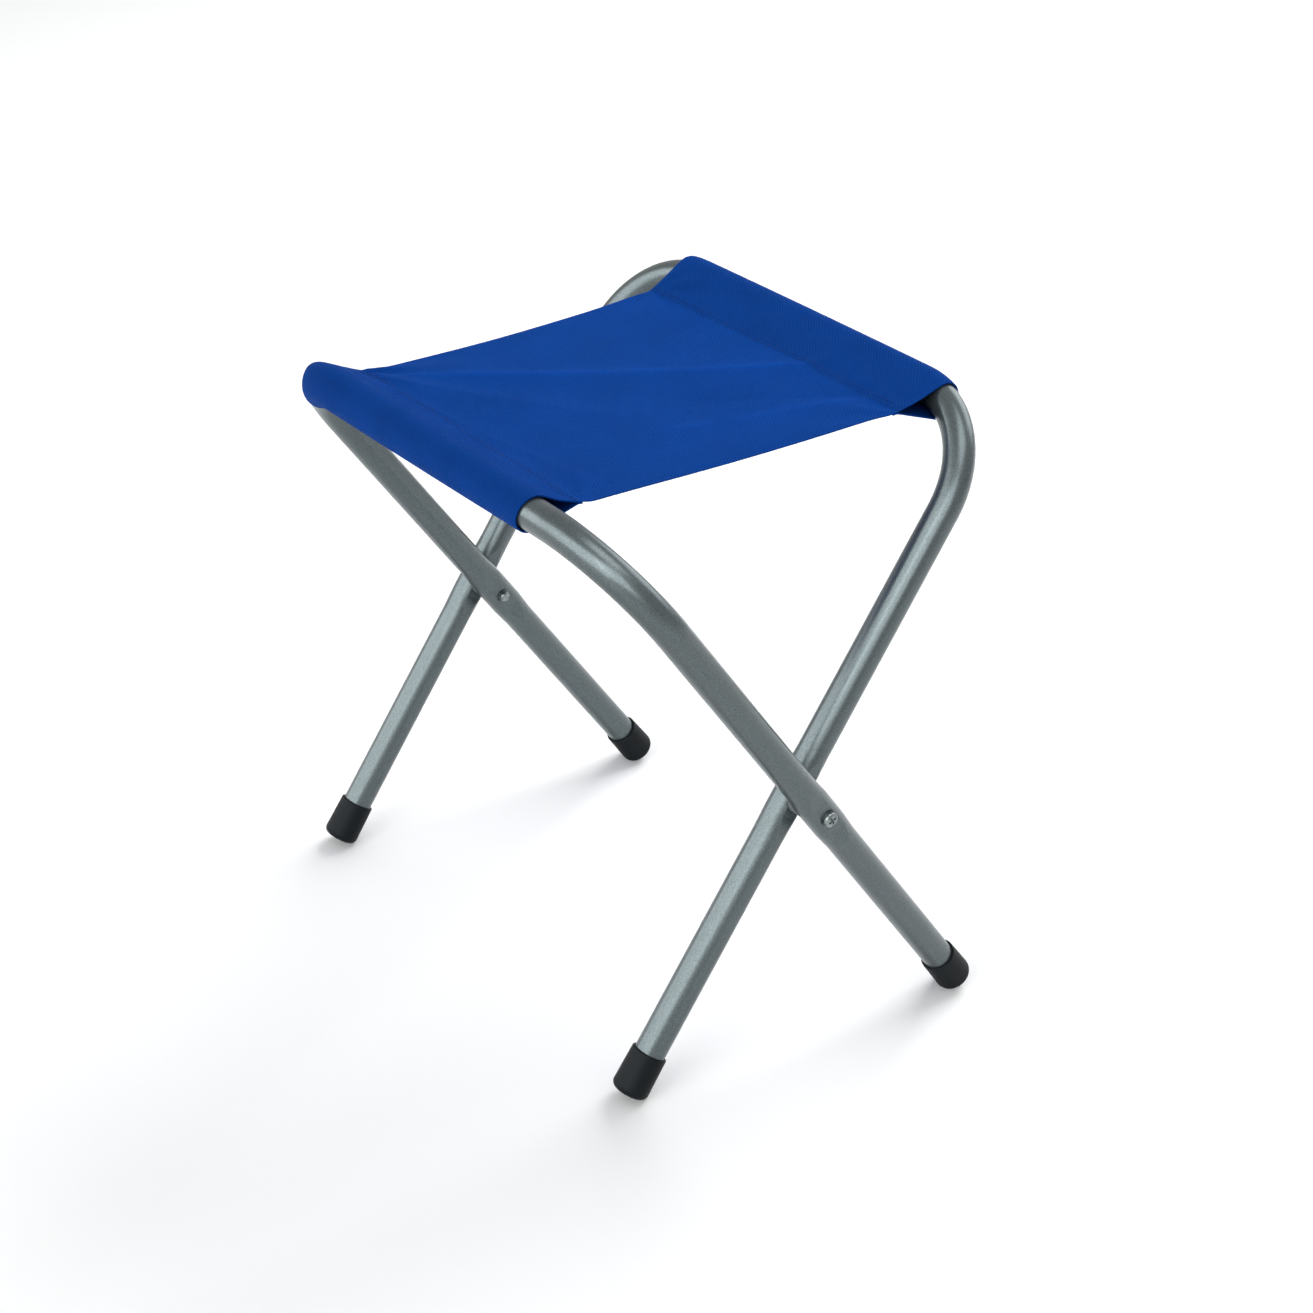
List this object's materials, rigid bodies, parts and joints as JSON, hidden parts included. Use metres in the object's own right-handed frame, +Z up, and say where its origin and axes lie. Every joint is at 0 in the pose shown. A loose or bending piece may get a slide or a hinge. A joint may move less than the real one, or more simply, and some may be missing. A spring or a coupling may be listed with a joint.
{
  "type": "folding camp stool",
  "caption": "Folding camp stool with two U-shaped steel tube frames crossed on pivot screws, rubber foot caps and a fabric seat sewn round both rails.",
  "frame": {"origin": "on the floor, below the middle of the open stool", "axes": "+Z up; +X along the pivot axis and the seat rails, to the right when the front rail is nearest; +Y from the front rail to the back rail"},
  "size_m": [0.3646, 0.2866, 0.3574],
  "materials": {
    "frame_paint": "silver-grey metallic paint, semi-gloss",
    "cap_rubber": "smooth black rubber",
    "screw_zinc": "bright zinc plating",
    "washer_zinc": "dull zinc plating",
    "spacer_plastic": "grey moulded plastic",
    "seat_fabric": "royal blue woven polyester",
    "thread": "blue sewing thread"
  },
  "bodies": {
    "front_frame": {"front_frame_tube": "frame_paint", "foot_cap_back_right": "cap_rubber", "foot_cap_back_left": "cap_rubber", "pivot_screw_right": "screw_zinc", "head_washer_right": "washer_zinc", "pivot_spacer_right": "spacer_plastic", "tail_washer_right": "washer_zinc", "seat_panel": "seat_fabric", "front_sleeve": "seat_fabric", "front_seam_stitching": "thread"},
    "back_frame": {"back_frame_tube": "frame_paint", "foot_cap_front_left": "cap_rubber", "foot_cap_front_right": "cap_rubber", "pivot_screw_left": "screw_zinc", "head_washer_left": "washer_zinc", "pivot_spacer_left": "spacer_plastic", "tail_washer_left": "washer_zinc", "back_sleeve": "seat_fabric", "back_seam_stitching": "thread"}
  },
  "joints": [
    {"name": "fold", "type": "hinge", "parent": "front_frame", "child": "back_frame", "pos_m": [0, 0, 0.15923], "axis": [1, 0, 0], "range_deg": [0, 58], "deforming": ["seat_panel"]}
  ]
}
